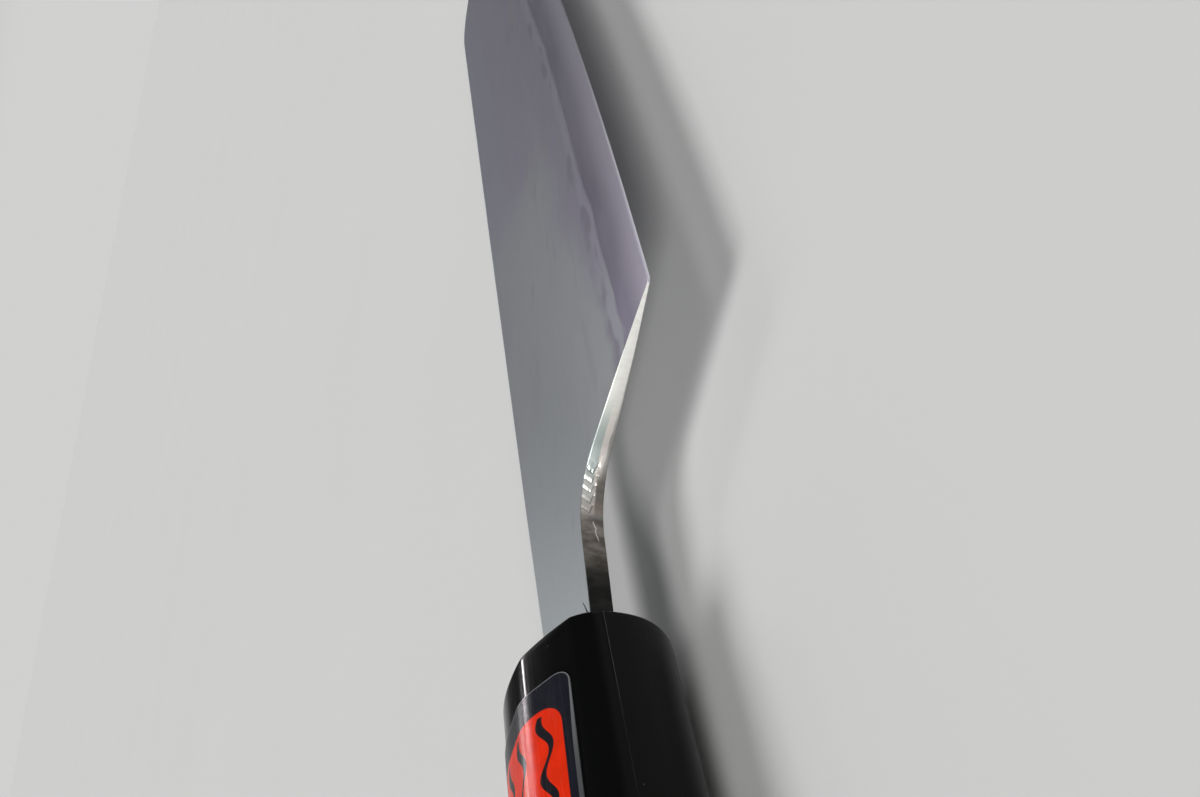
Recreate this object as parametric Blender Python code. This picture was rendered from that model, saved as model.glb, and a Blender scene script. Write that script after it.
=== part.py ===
"""Santoku knife: a three-layer blade in a moulded two-part handle.

Every piece is worked out from the handle's mouth, where the axis is: +X runs to
the tip, +Y to the spine and +Z out of the right-hand face. The whole knife is
then moved, so that its origin lies under the middle of its box.
"""

import math

import bmesh
import bpy
import numpy as np

# Blade outline, in metres from the mouth
BLADE_LENGTH = 0.180
BLADE_HEIGHT = 0.0450
HEEL_SETBACK = 0.0325
HEEL_LEAN = 0.317
SPINE_HEIGHT = 0.0079
SPINE_FALL = 0.0004
TIP_DROP_LENGTH = 0.0265
EDGE_RISE = 0.0025
EDGE_BELLY = 0.0112
NECK_HEIGHT = 0.0147
NECK_FLARE = 0.114
CHOIL_CURVE = 0.0070

# Blade section
SPINE_THICKNESS = 0.00306
MIDDLE_THICKNESS = 0.00240
TIP_THICKNESS = 0.00125
FLAT_START = 0.015
FLAT_END = 0.040
MIDDLE_X = 0.113
CORE_THICKNESS = 0.00131
GRIND_HEIGHT = 0.030
GRIND_POWER = 1.5
GRIND_FLOOR = 0.06
BEVEL_SLOPE = 0.25
SPINE_EASE = 0.00022

# Tang
TANG_LENGTH = 0.098
TANG_END_HEIGHT = 0.0080
TANG_END_THICKNESS = 0.00230

# Handle
HANDLE_LENGTH = 0.130
MOUTH_WIDTH = 0.0190
MOUTH_HEIGHT = 0.0248
BUTT_WIDTH = 0.0230
BUTT_HEIGHT = 0.0272
SECTION_POWER = 2.3
RIDGE_DROP = 0.0032
FACET_SLOPE = 0.36
FACET_RADIUS = 0.028
FACET_BLEND = 0.0005
LEFT_FLAT_DEPTH = 0.0008
LEFT_FLAT_BLEND = 0.0002
SEAM_HEIGHT = 0.0022
RIM_ROUND = 0.0006
BUTT_ROUND = 0.0030

# Inner fittings
FIT_GAP = 0.0003
PIN_DIAMETER = 0.0040
PIN_LENGTH = 0.0150
FRONT_PIN_SETBACK = 0.028
REAR_PIN_MARGIN = 0.020
SEAL_DEPTH = 0.0045
SEAL_WALL = 0.0014
SEAL_BEAD = 0.0004

# Label
LABEL_SETBACK = 0.0072
LABEL_LENGTH = 0.086
LABEL_LOWER_EDGE = 0.0098
LABEL_UPPER_EDGE = 0.0078
LABEL_CORNER = 0.0022
LABEL_FILM = 0.00014
LABEL_GLUE = 0.00005

# How finely the curves are cut
CHOIL_STATIONS = 9
HEEL_STATIONS = 5
FLAT_STATIONS = 3
BLADE_STATIONS = 13
DROP_STATIONS = 16
TANG_STATIONS = 5
HANDLE_STATIONS = 20
FACET_POINTS = 15
ROUND_POINTS = 34
RIM_POINTS = 5
PIN_POINTS = 24
CORNER_POINTS = 6
CORE_ROWS = (0.25, 0.6, 1.0)
CLADDING_ROWS = (0.0, 0.08, 0.2, 0.4, 0.65, 0.85, 1.0)
# Faces that meet at less than this angle are shaded as one curve
SMOOTH_ANGLE = math.radians(30)

# Widest gap at which points of one mesh are joined
WELD = 1e-7
# How far a cutter reaches past the face that it opens
CUT_OVER = 0.002
HALVING_STEPS = 60


TIP_X = HEEL_SETBACK + BLADE_LENGTH
DROP_X = TIP_X - TIP_DROP_LENGTH
HEEL_Y = SPINE_HEIGHT - BLADE_HEIGHT
NECK_Y = SPINE_HEIGHT - NECK_HEIGHT
REAR_PIN_SETBACK = TANG_LENGTH - REAR_PIN_MARGIN
THICKNESS_PLACES = (-TANG_LENGTH, FLAT_START, FLAT_END, MIDDLE_X, TIP_X)
THICKNESSES = (TANG_END_THICKNESS, SPINE_THICKNESS, SPINE_THICKNESS, MIDDLE_THICKNESS, TIP_THICKNESS)
CORE_SHARE = (CORE_THICKNESS / SPINE_THICKNESS - GRIND_FLOOR) / (1 - GRIND_FLOOR)
LAMINATION_HEIGHT = GRIND_HEIGHT * (1 - (1 - CORE_SHARE) ** (1 / GRIND_POWER))
BEVEL_HEIGHT = GRIND_FLOOR * SPINE_THICKNESS / 2 / BEVEL_SLOPE


def choil_curve_points():
    """Start, corner and end of the curve between the neck's underside and the heel."""
    corner_x = (HEEL_SETBACK - HEEL_LEAN * (NECK_Y - HEEL_Y)) / (1 - HEEL_LEAN * NECK_FLARE)
    corner = np.array([corner_x, NECK_Y - NECK_FLARE * corner_x])
    along_neck = np.array([-1, NECK_FLARE]) / math.hypot(1, NECK_FLARE)
    along_heel = np.array([HEEL_LEAN, -1]) / math.hypot(1, HEEL_LEAN)
    return corner + CHOIL_CURVE * along_neck, corner, corner + CHOIL_CURVE * along_heel


CHOIL_START, CHOIL_CORNER, CHOIL_END = choil_curve_points()


def edge_y(x):
    """The cutting edge: straight at the heel, with a belly that grows as the square."""
    share = np.maximum(x - HEEL_SETBACK, 0) / BLADE_LENGTH
    return HEEL_Y + EDGE_RISE * share + EDGE_BELLY * share**2


def spine_y(x):
    """The spine: a straight run, then a parabola down to the tip; in the handle, the tang's top."""
    run = SPINE_HEIGHT - SPINE_FALL * x / TIP_X
    past = np.maximum(x - DROP_X, 0) / TIP_DROP_LENGTH
    tip_drop = SPINE_HEIGHT - SPINE_FALL - edge_y(TIP_X)
    tang_share = np.minimum(x, 0) / TANG_LENGTH
    return run - tip_drop * past**2 + (NECK_HEIGHT - TANG_END_HEIGHT) / 2 * tang_share


def choil_y(x):
    """The height of the choil's curve at x, from its quadratic Bezier."""
    start, corner, end = CHOIL_START, CHOIL_CORNER, CHOIL_END
    bend = start[0] - 2 * corner[0] + end[0]
    slope = corner[0] - start[0]
    t = (-slope + math.sqrt(slope**2 - bend * (start[0] - x))) / bend
    return (1 - t) ** 2 * start[1] + 2 * t * (1 - t) * corner[1] + t**2 * end[1]


def lower_y(x):
    """The lower outline: the tang, the neck's underside, the choil, the heel and the edge."""
    if x >= HEEL_SETBACK:
        return float(edge_y(x))
    if x >= CHOIL_END[0]:
        return HEEL_Y + (HEEL_SETBACK - x) / HEEL_LEAN
    if x > CHOIL_START[0]:
        return choil_y(x)
    if x >= 0:
        return NECK_Y - NECK_FLARE * x
    return NECK_Y - (NECK_HEIGHT - TANG_END_HEIGHT) / 2 * x / TANG_LENGTH


def taper(x):
    """How thick the steel is at x, as a share of its thickness at the heel.

    It thickens evenly from the tang's end, stays level over the flat stretch
    at the heel, and then thins to the tip in two straight stretches.
    """
    return float(np.interp(x, THICKNESS_PLACES, THICKNESSES)) / SPINE_THICKNESS


def half_thickness(x, y):
    """Half the blade's thickness: a small bevel at the edge, then a convex grind up to the flat."""
    height = max(y - float(edge_y(x)), 0)
    rise = 1 - (1 - min(height / GRIND_HEIGHT, 1)) ** GRIND_POWER
    grind = SPINE_THICKNESS / 2 * taper(x) * (GRIND_FLOOR + (1 - GRIND_FLOOR) * rise)
    return min(grind, BEVEL_SLOPE * height)


def core_half(x):
    return CORE_THICKNESS / 2 * taper(x)


def cladding_end_x():
    """Where the lamination line meets the dropping spine, found by halving."""
    low, high = DROP_X, TIP_X
    for _ in range(HALVING_STEPS):
        middle = (low + high) / 2
        if spine_y(middle) > edge_y(middle) + LAMINATION_HEIGHT:
            low = middle
        else:
            high = middle
    return low


def blade_stations():
    """The places along the blade where its section is drawn, closer together at the curves."""
    lamination_at_heel = HEEL_SETBACK - HEEL_LEAN * LAMINATION_HEIGHT
    runs = [
        np.linspace(-TANG_LENGTH, 0, TANG_STATIONS),
        [0, FLAT_START, CHOIL_START[0]],
        np.linspace(CHOIL_START[0], CHOIL_END[0], CHOIL_STATIONS),
        np.linspace(CHOIL_END[0], lamination_at_heel, HEEL_STATIONS),
        np.linspace(lamination_at_heel, HEEL_SETBACK, HEEL_STATIONS),
        np.linspace(HEEL_SETBACK, FLAT_END, FLAT_STATIONS),
        np.linspace(FLAT_END, MIDDLE_X, BLADE_STATIONS),
        np.linspace(MIDDLE_X, DROP_X, BLADE_STATIONS),
        np.linspace(DROP_X, TIP_X, DROP_STATIONS),
        [cladding_end_x()],
    ]
    stations = np.sort(np.concatenate(runs))
    apart = np.concatenate([[True], np.diff(stations) > WELD])
    return stations[apart]


def material(name, color, roughness, metallic=0.0):
    made = bpy.data.materials.new(name)
    made.use_nodes = True
    shader = made.node_tree.nodes["Principled BSDF"]
    shader.inputs["Base Color"].default_value = (*color, 1.0)
    shader.inputs["Roughness"].default_value = roughness
    shader.inputs["Metallic"].default_value = metallic
    return made


def finish_mesh(name, bm, surface):
    """Puts the mesh in an object, with its faces turned outwards and its curves smooth."""
    bmesh.ops.recalc_face_normals(bm, faces=bm.faces)
    mesh = bpy.data.meshes.new(name)
    bm.to_mesh(mesh)
    bm.free()
    mesh.shade_smooth()
    mesh.set_sharp_from_angle(angle=SMOOTH_ANGLE)
    made = bpy.data.objects.new(name, mesh)
    bpy.context.scene.collection.objects.link(made)
    if surface:
        mesh.materials.append(surface)
    return made


def loft(name, loops, surface):
    """A closed body through a row of loops with equal counts, capped at both ends."""
    bm = bmesh.new()
    rings = [[bm.verts.new(point) for point in loop] for loop in loops]
    for ring, following in zip(rings, rings[1:]):
        for i in range(len(ring)):
            j = (i + 1) % len(ring)
            bm.faces.new((ring[i], ring[j], following[j], following[i]))
    bm.faces.new(rings[0])
    bm.faces.new(rings[-1])
    bmesh.ops.remove_doubles(bm, verts=bm.verts, dist=WELD)
    return finish_mesh(name, bm, surface)


def block(name, low, high, surface):
    """A block between two corners."""
    ends = [[(x, low[1], low[2]), (x, high[1], low[2]), (x, high[1], high[2]), (x, low[1], high[2])]
            for x in (low[0], high[0])]
    return loft(name, ends, surface)


def as_cutter(made):
    made.hide_render = True
    made.display_type = "WIRE"
    return made


def cut(target, *cutters):
    for cutter in cutters:
        modifier = target.modifiers.new("cut " + cutter.name, "BOOLEAN")
        modifier.operation = "DIFFERENCE"
        modifier.solver = "EXACT"
        modifier.object = cutter


def rod(name, radius, length, place, surface):
    """A round rod along Z, centred on its place."""
    angles = np.linspace(0, 2 * math.pi, PIN_POINTS, endpoint=False)
    circle = [(place[0] + radius * math.cos(a), place[1] + radius * math.sin(a)) for a in angles]
    ends = [[(x, y, place[2] + z) for x, y in circle] for z in (-length / 2, length / 2)]
    return loft(name, ends, surface)


def row_places(x, heights):
    """The heights of a layer's rows at x, measured up from the edge and kept inside the outline."""
    low, top = lower_y(x), float(spine_y(x))
    rows = [min(max(float(edge_y(x)) + height, low), top) for height in heights]
    return rows + [max(top - SPINE_EASE, rows[-1]), top]


def steel_core(surface):
    """The hard middle layer: a plate whose faces run in to the cutting edge."""
    above_bevel = LAMINATION_HEIGHT - BEVEL_HEIGHT
    exposed = [BEVEL_HEIGHT + share * above_bevel for share in CORE_ROWS]
    heights = [0.0, BEVEL_HEIGHT, *exposed, GRIND_HEIGHT]
    loops = []
    for x in blade_stations():
        rows = row_places(x, heights)
        face = [min(half_thickness(x, y), core_half(x)) for y in rows]
        right = [(x, y, z) for y, z in zip(rows, face)]
        left = [(x, y, -z) for y, z in zip(rows, face)]
        loops.append(right + left[::-1])
    return loft("blade_core", loops, surface)


def steel_cladding(name, side, surface):
    """An outer layer: flat against the core, ground to nothing at the lamination line."""
    above = GRIND_HEIGHT - LAMINATION_HEIGHT
    heights = [LAMINATION_HEIGHT + share * above for share in CLADDING_ROWS]
    last = cladding_end_x()
    loops = []
    for x in blade_stations():
        if x > last + WELD:
            break
        rows = row_places(x, heights)
        outer = [max(half_thickness(x, y), core_half(x)) for y in rows]
        outer[-1] = max(outer[-1] - SPINE_EASE, core_half(x))
        top = [(x, y, side * z) for y, z in zip(rows, outer)]
        under = [(x, y, side * core_half(x)) for y in rows]
        loops.append(top + under[::-1])
    return loft(name, loops, surface)


def swell(x):
    """How far the handle has filled out at x, from 0 at the mouth to 1 at the butt."""
    return math.sin(math.pi / 2 * min(max(-x / HANDLE_LENGTH, 0), 1))


def end_inset(x):
    """How far the rounding of the rim and of the butt draws the surface in."""
    inset = 0.0
    for radius, depth in ((RIM_ROUND, -x), (BUTT_ROUND, HANDLE_LENGTH + x)):
        if depth < radius:
            inset = radius - math.sqrt(max(radius**2 - (radius - depth) ** 2, 0))
    return inset


def section_sizes(x):
    """Half the width and half the height of the handle at x."""
    half_width = (MOUTH_WIDTH + (BUTT_WIDTH - MOUTH_WIDTH) * swell(x)) / 2 - end_inset(x)
    half_height = (MOUTH_HEIGHT + (BUTT_HEIGHT - MOUTH_HEIGHT) * swell(x)) / 2 - end_inset(x)
    return half_width, half_height


def lower_of(first, second, blend_width):
    """The lower of two heights, with the corner where they cross rounded over a width."""
    blend = min(max(0.5 + 0.5 * (first - second) / blend_width, 0), 1)
    return first + (second - first) * blend - blend_width / 2 * blend * (1 - blend)


def section_point(x, angle):
    """A point of the handle's section: an oval with a low-crowned facet below its ridge.

    The angle runs from the spine side, at 0, over the right-hand side to the underside, at pi.
    The left-hand side is a little flattened, so that the knife lies still on it.
    """
    half_width, half_height = section_sizes(x)
    power = 2 / SECTION_POWER
    y = half_height * math.copysign(abs(math.cos(angle)) ** power, math.cos(angle))
    z = half_width * math.copysign(abs(math.sin(angle)) ** power, math.sin(angle))
    if z <= 0:
        return y, -lower_of(half_width - LEFT_FLAT_DEPTH, -z, LEFT_FLAT_BLEND)
    share = RIDGE_DROP / half_height
    ridge_z = half_width * (1 - share**SECTION_POWER) ** (1 / SECTION_POWER)
    below = y + RIDGE_DROP
    facet = ridge_z + FACET_SLOPE * below - below**2 / (2 * FACET_RADIUS)
    if below > 0:
        facet = ridge_z + FACET_SLOPE * below
    return y, lower_of(facet, z, FACET_BLEND)


def seam_angle(x):
    """The angle at which the section crosses the plane where the two halves meet."""
    return math.asin((SEAM_HEIGHT / section_sizes(x)[0]) ** (SECTION_POWER / 2))


def ridge_angle(x):
    return math.pi - math.acos((RIDGE_DROP / section_sizes(x)[1]) ** (SECTION_POWER / 2))


def right_section(x):
    """The right-hand half's outline, from the seam at the spine side to the seam underneath."""
    seam, ridge = seam_angle(x), ridge_angle(x)
    upper = np.linspace(seam, ridge, FACET_POINTS)
    lower = np.linspace(ridge, math.pi - seam, FACET_POINTS)[1:]
    return [section_point(x, angle) for angle in (*upper, *lower)]


def left_section(x):
    """The left-hand half's outline, from the seam underneath to the seam at the spine side."""
    seam = seam_angle(x)
    angles = np.linspace(math.pi - seam, 2 * math.pi + seam, ROUND_POINTS)
    return [section_point(x, angle) for angle in angles]


def handle_stations():
    """The places along the handle where its section is drawn, closer together at the rounded ends."""
    quarter = 1 - np.cos(np.linspace(0, math.pi / 2, RIM_POINTS))
    rim = -RIM_ROUND * quarter
    butt = -HANDLE_LENGTH + BUTT_ROUND * quarter
    body = np.linspace(-RIM_ROUND, -HANDLE_LENGTH + BUTT_ROUND, HANDLE_STATIONS)
    return sorted({round(float(x), 9) for x in (*rim, *body, *butt, *label_reach())}, reverse=True)


def label_reach():
    """Where the label's film starts and ends before it is trimmed to its outline."""
    return CUT_OVER - LABEL_SETBACK, -LABEL_SETBACK - LABEL_LENGTH - CUT_OVER


def handle_half(name, outline, surface):
    """A moulded half: its outer shape closed by the flat seam."""
    loops = []
    for x in handle_stations():
        points = outline(x)
        flat = [(x, points[i][0], SEAM_HEIGHT) for i in (0, -1)]
        loops.append([flat[0], *[(x, y, z) for y, z in points[1:-1]], flat[1]])
    return loft(name, loops, surface)


def tang_channel():
    """The slot for the tang, open at the seam and at the mouth."""
    loops = []
    for x in (-TANG_LENGTH - FIT_GAP, 0.0, CUT_OVER):
        inside = max(min(x, 0.0), -TANG_LENGTH)
        low = lower_y(inside) - FIT_GAP
        high = float(spine_y(inside)) + FIT_GAP
        floor = -SPINE_THICKNESS / 2 * taper(inside) - FIT_GAP
        roof = SEAM_HEIGHT + CUT_OVER
        loops.append([(x, low, floor), (x, high, floor), (x, high, roof), (x, low, roof)])
    return as_cutter(loft("tang_channel", loops, None))


def seal_corners(margin, back, front):
    """Two corners of a block round the neck, this much wider than the steel."""
    low = (back, lower_y(front) - margin, -SPINE_THICKNESS / 2 - margin)
    high = (front, float(spine_y(0.0)) + margin, SPINE_THICKNESS / 2 + margin)
    return low, high


def mouth_seal(surface):
    """The resin collar that fills the mouth round the neck."""
    outside = seal_corners(FIT_GAP / 2 + SEAL_WALL, -SEAL_DEPTH, SEAL_BEAD)
    inside = seal_corners(FIT_GAP / 2, -SEAL_DEPTH - CUT_OVER, SEAL_BEAD + CUT_OVER)
    seal = block("mouth_seal", *outside, surface)
    cut(seal, as_cutter(block("neck_passage", *inside, None)))
    return seal


def pin_place(setback):
    middle = (float(spine_y(-setback)) + lower_y(-setback)) / 2
    return -setback, middle, 0.0


def offset_outline(points, distance):
    """The outline moved outwards, with each corner mitred so that its facets stay parallel."""
    points = np.array(points)
    runs = np.diff(points, axis=0)
    normals = np.stack([runs[:, 1], -runs[:, 0]], axis=1) / np.linalg.norm(runs, axis=1)[:, None]
    before = np.vstack([normals[:1], normals])
    after = np.vstack([normals, normals[-1:]])
    mitre = (before + after) / (1 + (before * after).sum(axis=1))[:, None]
    return points + distance * mitre


def label_window():
    """The label's outline, a rectangle with round corners, as a block through its film."""
    front, back = -LABEL_SETBACK, -LABEL_SETBACK - LABEL_LENGTH
    low, high = -LABEL_LOWER_EDGE, LABEL_UPPER_EDGE
    corners = [(front, low), (front, high), (back, high), (back, low)]
    bm = bmesh.new()
    floor = bm.faces.new([bm.verts.new((x, y, 0.0)) for x, y in corners])
    raised = bmesh.ops.extrude_face_region(bm, geom=[floor])
    top = [item for item in raised["geom"] if isinstance(item, bmesh.types.BMVert)]
    bmesh.ops.translate(bm, verts=top, vec=(0, 0, BUTT_WIDTH))
    uprights = [edge for edge in bm.edges if abs(edge.verts[0].co.z - edge.verts[1].co.z) > WELD]
    bmesh.ops.bevel(bm, geom=uprights, offset=LABEL_CORNER, segments=CORNER_POINTS,
                    profile=0.5, affect="EDGES")
    return as_cutter(finish_mesh("label_window", bm, None))


def label(surface):
    """A thin film that follows the handle's facets over the ridge, trimmed to its outline."""
    front, back = label_reach()
    loops = []
    for x in handle_stations():
        if x > front + WELD or x < back - WELD:
            continue
        outline = right_section(x)[2:-2]
        under = offset_outline(outline, LABEL_GLUE)
        over = offset_outline(outline, LABEL_GLUE + LABEL_FILM)
        loops.append([(x, y, z) for y, z in (*over, *under[::-1])])
    film = loft("label", loops, surface)
    trim = film.modifiers.new("trim", "BOOLEAN")
    trim.operation = "INTERSECT"
    trim.solver = "EXACT"
    trim.object = label_window()
    return film


def settle(pieces):
    """Moves everything so that the origin lies under the middle of the knife's box."""
    bpy.context.view_layer.update()
    graph = bpy.context.evaluated_depsgraph_get()
    corners = []
    for piece in pieces:
        mesh = piece.evaluated_get(graph).to_mesh()
        points = np.empty(len(mesh.vertices) * 3)
        mesh.vertices.foreach_get("co", points)
        corners.append(points.reshape(-1, 3))
    points = np.vstack(corners)
    low, high = points.min(axis=0), points.max(axis=0)
    root = bpy.data.objects.new("knife", None)
    bpy.context.scene.collection.objects.link(root)
    root.location = (-(low[0] + high[0]) / 2, -(low[1] + high[1]) / 2, -low[2])
    for made in bpy.data.objects:
        if made.type == "MESH":
            made.parent = root


def main():
    for old in list(bpy.data.objects):
        bpy.data.objects.remove(old)

    core_steel = material("core_steel", (0.30, 0.30, 0.33), 0.28, 1.0)
    clad_steel = material("clad_steel", (0.47, 0.48, 0.48), 0.42, 1.0)
    black_resin = material("black_resin", (0.004, 0.004, 0.0044), 0.16)
    seal_resin = material("seal_resin", (0.02, 0.018, 0.015), 0.5)
    label_film = material("label_film", (0.02, 0.022, 0.035), 0.12)
    pin_steel = material("pin_steel", (0.55, 0.55, 0.56), 0.35, 1.0)

    core = steel_core(core_steel)
    right_clad = steel_cladding("cladding_right", 1, clad_steel)
    left_clad = steel_cladding("cladding_left", -1, clad_steel)
    right_half = handle_half("handle_right", right_section, black_resin)
    left_half = handle_half("handle_left", left_section, black_resin)

    cut(left_half, tang_channel())
    recess = seal_corners(SEAL_WALL + FIT_GAP, -SEAL_DEPTH - FIT_GAP, CUT_OVER)
    recess_cutter = as_cutter(block("seal_recess", *recess, None))
    cut(right_half, recess_cutter)
    cut(left_half, recess_cutter)

    pieces = [core, right_clad, left_clad, right_half, left_half]
    pins = []
    for name, setback in (("front", FRONT_PIN_SETBACK), ("rear", REAR_PIN_SETBACK)):
        place = pin_place(setback)
        pins.append(rod("tang_pin_" + name, PIN_DIAMETER / 2, PIN_LENGTH, place, pin_steel))
        room = rod("pin_hole_" + name, (PIN_DIAMETER + FIT_GAP) / 2, PIN_LENGTH + FIT_GAP, place, None)
        hole = as_cutter(room)
        for piece in pieces:
            cut(piece, hole)

    settle([*pieces, *pins, mouth_seal(seal_resin), label(label_film)])


main()
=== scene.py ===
"""A santoku knife: a laminated blade, a moulded handle with a wrapped label, and the studio it lies in.

Every new piece is a surface computed over a grid. Its formulas use the knife's own
directions, in metres: x runs from the handle's mouth to the tip, y to the spine and
z out of the right-hand face.
"""

import math

import bmesh
import bpy
import numpy as np
from bpy.props import FloatProperty, FloatVectorProperty, PointerProperty
from mathutils import Matrix, Vector


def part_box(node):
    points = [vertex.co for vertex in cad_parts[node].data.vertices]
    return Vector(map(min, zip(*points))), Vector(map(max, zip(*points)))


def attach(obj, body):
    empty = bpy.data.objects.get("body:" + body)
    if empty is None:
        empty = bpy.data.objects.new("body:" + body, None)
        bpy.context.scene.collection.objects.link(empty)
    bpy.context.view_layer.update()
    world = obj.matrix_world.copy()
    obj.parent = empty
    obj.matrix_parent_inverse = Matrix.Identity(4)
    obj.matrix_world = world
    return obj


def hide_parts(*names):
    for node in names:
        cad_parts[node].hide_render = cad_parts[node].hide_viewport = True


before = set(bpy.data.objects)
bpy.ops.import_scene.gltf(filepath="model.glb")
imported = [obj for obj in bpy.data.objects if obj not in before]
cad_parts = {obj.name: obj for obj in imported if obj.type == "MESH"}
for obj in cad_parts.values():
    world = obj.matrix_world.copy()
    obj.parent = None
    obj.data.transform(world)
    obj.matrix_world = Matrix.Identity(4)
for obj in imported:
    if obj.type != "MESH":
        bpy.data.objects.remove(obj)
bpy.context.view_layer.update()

bl_info = {
    "name": "Santoku Knife",
    "version": (1, 0, 0),
    "blender": (4, 5, 0),
    "location": "3D Viewport > Sidebar > Knife",
    "description": "Builds a laminated kitchen knife and a plain studio round it",
    "category": "Add Mesh",
}

BODY = "root"

# Blade outline
BLADE_LENGTH = 0.180
BLADE_HEIGHT = 0.0450
HEEL_X = 0.0325
HEEL_LEAN = 0.317
SPINE_HEIGHT = 0.0079
SPINE_FALL = 0.0004
TIP_DROP_LENGTH = 0.0265
EDGE_RISE = 0.0025
EDGE_BELLY = 0.0112
NECK_HEIGHT = 0.0147
NECK_FLARE = 0.114
CHOIL_CURVE = 0.0070
TIP_X = HEEL_X + BLADE_LENGTH
DROP_X = TIP_X - TIP_DROP_LENGTH
HEEL_Y = SPINE_HEIGHT - BLADE_HEIGHT
NECK_Y = SPINE_HEIGHT - NECK_HEIGHT

# Blade section
SPINE_THICKNESS = 0.00306
THICKNESS_PLACES = (-0.098, 0.015, 0.040, 0.113, TIP_X)
THICKNESSES = (0.00230, SPINE_THICKNESS, SPINE_THICKNESS, 0.00240, 0.00125)
CORE_THICKNESS = 0.00131
GRIND_HEIGHT = 0.030
GRIND_POWER = 1.5
GRIND_FLOOR = 0.06
BEVEL_SLOPE = 0.25
SPINE_EASE = 0.00022
CHOIL_EASE = 0.00014
CORE_SHARE = (CORE_THICKNESS / SPINE_THICKNESS - GRIND_FLOOR) / (1 - GRIND_FLOOR)
LAMINATION_HEIGHT = GRIND_HEIGHT * (1 - (1 - CORE_SHARE) ** (1 / GRIND_POWER))

# Tang
TANG_LENGTH = 0.098
TANG_END_HEIGHT = 0.0080

# Handle
HANDLE_LENGTH = 0.130
MOUTH_WIDTH = 0.0190
MOUTH_HEIGHT = 0.0248
BUTT_WIDTH = 0.0230
BUTT_HEIGHT = 0.0272
SECTION_POWER = 2.3
RIDGE_DROP = 0.0032
RIDGE_RUB = 0.0007
FACET_SLOPE = 0.36
FACET_RADIUS = 0.028
FACET_BLEND = 0.00015
LEFT_FLAT_DEPTH = 0.0008
LEFT_FLAT_BLEND = 0.0002
SEAM_HEIGHT = 0.0022
SEAM_WIDTH = 0.00006
SEAM_FLASH = 0.00005
RIM_ROUND = 0.0006
BUTT_ROUND = 0.0030
FIT_GAP = 0.0003

# Seal
SEAL_DEPTH = 0.0045
SEAL_WALL = 0.0014
SEAL_BEAD = 0.0004
SLIVER_LENGTH = 0.0062
SLIVER_ROOT = 0.00015
SLIVER_TIP = 0.00003

# Choil: marks in metres from the mouth along the lower outline, and what stands on its face
SCALE_END = (0.0190, 0.0206)
CRACK_START = (0.0158, 0.0164)
CRACK_END = (0.0190, 0.0194)
CRACK_WIDTH = (0.00003, 0.00011)
CRACK_RISE = 0.000045
NOTCH_START = (0.0199, 0.0206)
NOTCH_END = (0.0255, 0.0272)
NOTCH_PITCH = 0.00125
NOTCH_TURN = 0.00035
NOTCH_SLANT = 0.52
NOTCH_HOOK = 2.4
NOTCH_HOOK_WIDTH = 0.0004
NOTCH_GROOVE = 0.000085
NOTCH_TOOTH = 0.00004
SCALE_RELIEF = 0.000028
BRUSH_RELIEF = 0.000003
CHOIL_CROWN = 0.00004

# Label
LABEL_SETBACK = 0.0072
LABEL_LENGTH = 0.086
LABEL_LOWER_EDGE = 0.0098
LABEL_UPPER_EDGE = 0.0078
LABEL_CORNER = 0.0022
LABEL_FILM = 0.00014
LABEL_GLUE = 0.00005
LABEL_BLEND = 0.00045
LABEL_LIFT = 0.00026
LABEL_LIFT_REACH = 0.0030
PRINT_UNIT = 0.1

# The panel on the label, in millimetres back from the front edge and up from the lower edge
PANEL_START = (3.7, 1.7, 0.0)
PANEL_HALF = (11.8, 7.6, 0.0)
PANEL_CORNER = 3.4
PANEL_MARGIN = 0.8
WAVE_LENGTH = 7.4
WAVE_SWAY = 0.75
WAVE_LAG = 1.9

# Marks for the tints, in millimetres: from the mouth along the lower outline, and across the choil
POLISH_RUN = (19.3, 20.6)
MINT_RUN = (30.0, 37.0)
MINT_ACROSS = (-0.10, 0.12)

# Camera: its place, what it looks at and its upward direction, and its lens in millimetres
CAMERA_PLACE = (-0.140011, -0.136926, 0.062311)
CAMERA_TARGET = (0.033034, -0.017888, 0.0)
CAMERA_UP = (0.600275, -0.779958, 0.177017)
CAMERA_LENS = 51.695

# Suns: name, azimuth, elevation and spread in degrees, strength and tint
SUNS = (
    ("key", 46.0, 32.0, 14.0, 0.22, (1.0, 0.98, 0.99)),
    ("side", 18.0, 32.0, 14.0, 0.07, (1.0, 1.0, 1.0)),
    ("glint", 29.5, 34.5, 4.0, 0.12, (1.0, 0.92, 0.95)),
    ("far", 120.0, 65.0, 30.0, 1.28, (1.0, 1.0, 1.0)),
    ("near", 230.0, 60.0, 20.0, 0.30, (1.0, 1.0, 1.0)),
    ("behind", 196.0, 15.0, 12.0, 2.80, (1.0, 1.0, 0.98)),
)
# The side on which the dark screen stands
DARK_HEADING = (0.985, -0.174, 0.0)
FLOOR_REACH = 30.0
FLOOR_GAP = 0.00002

WELD = 1e-7
SMOOTH_ANGLE = math.radians(32)


def mouth_point():
    """The middle of the handle's mouth in the model, where x, y and z are nought."""
    handle_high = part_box("handle_right")[1]
    core_low, core_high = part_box("blade_core")
    return np.array([handle_high.x, core_high.y - SPINE_HEIGHT, (core_low.z + core_high.z) / 2])


MOUTH = mouth_point()


# Curves and surfaces


def smooth_step(value, low, high):
    """0 below low and 1 above high, with an S-shaped cubic between."""
    share = np.clip((value - low) / (high - low), 0, 1)
    return share * share * (3 - 2 * share)


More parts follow.
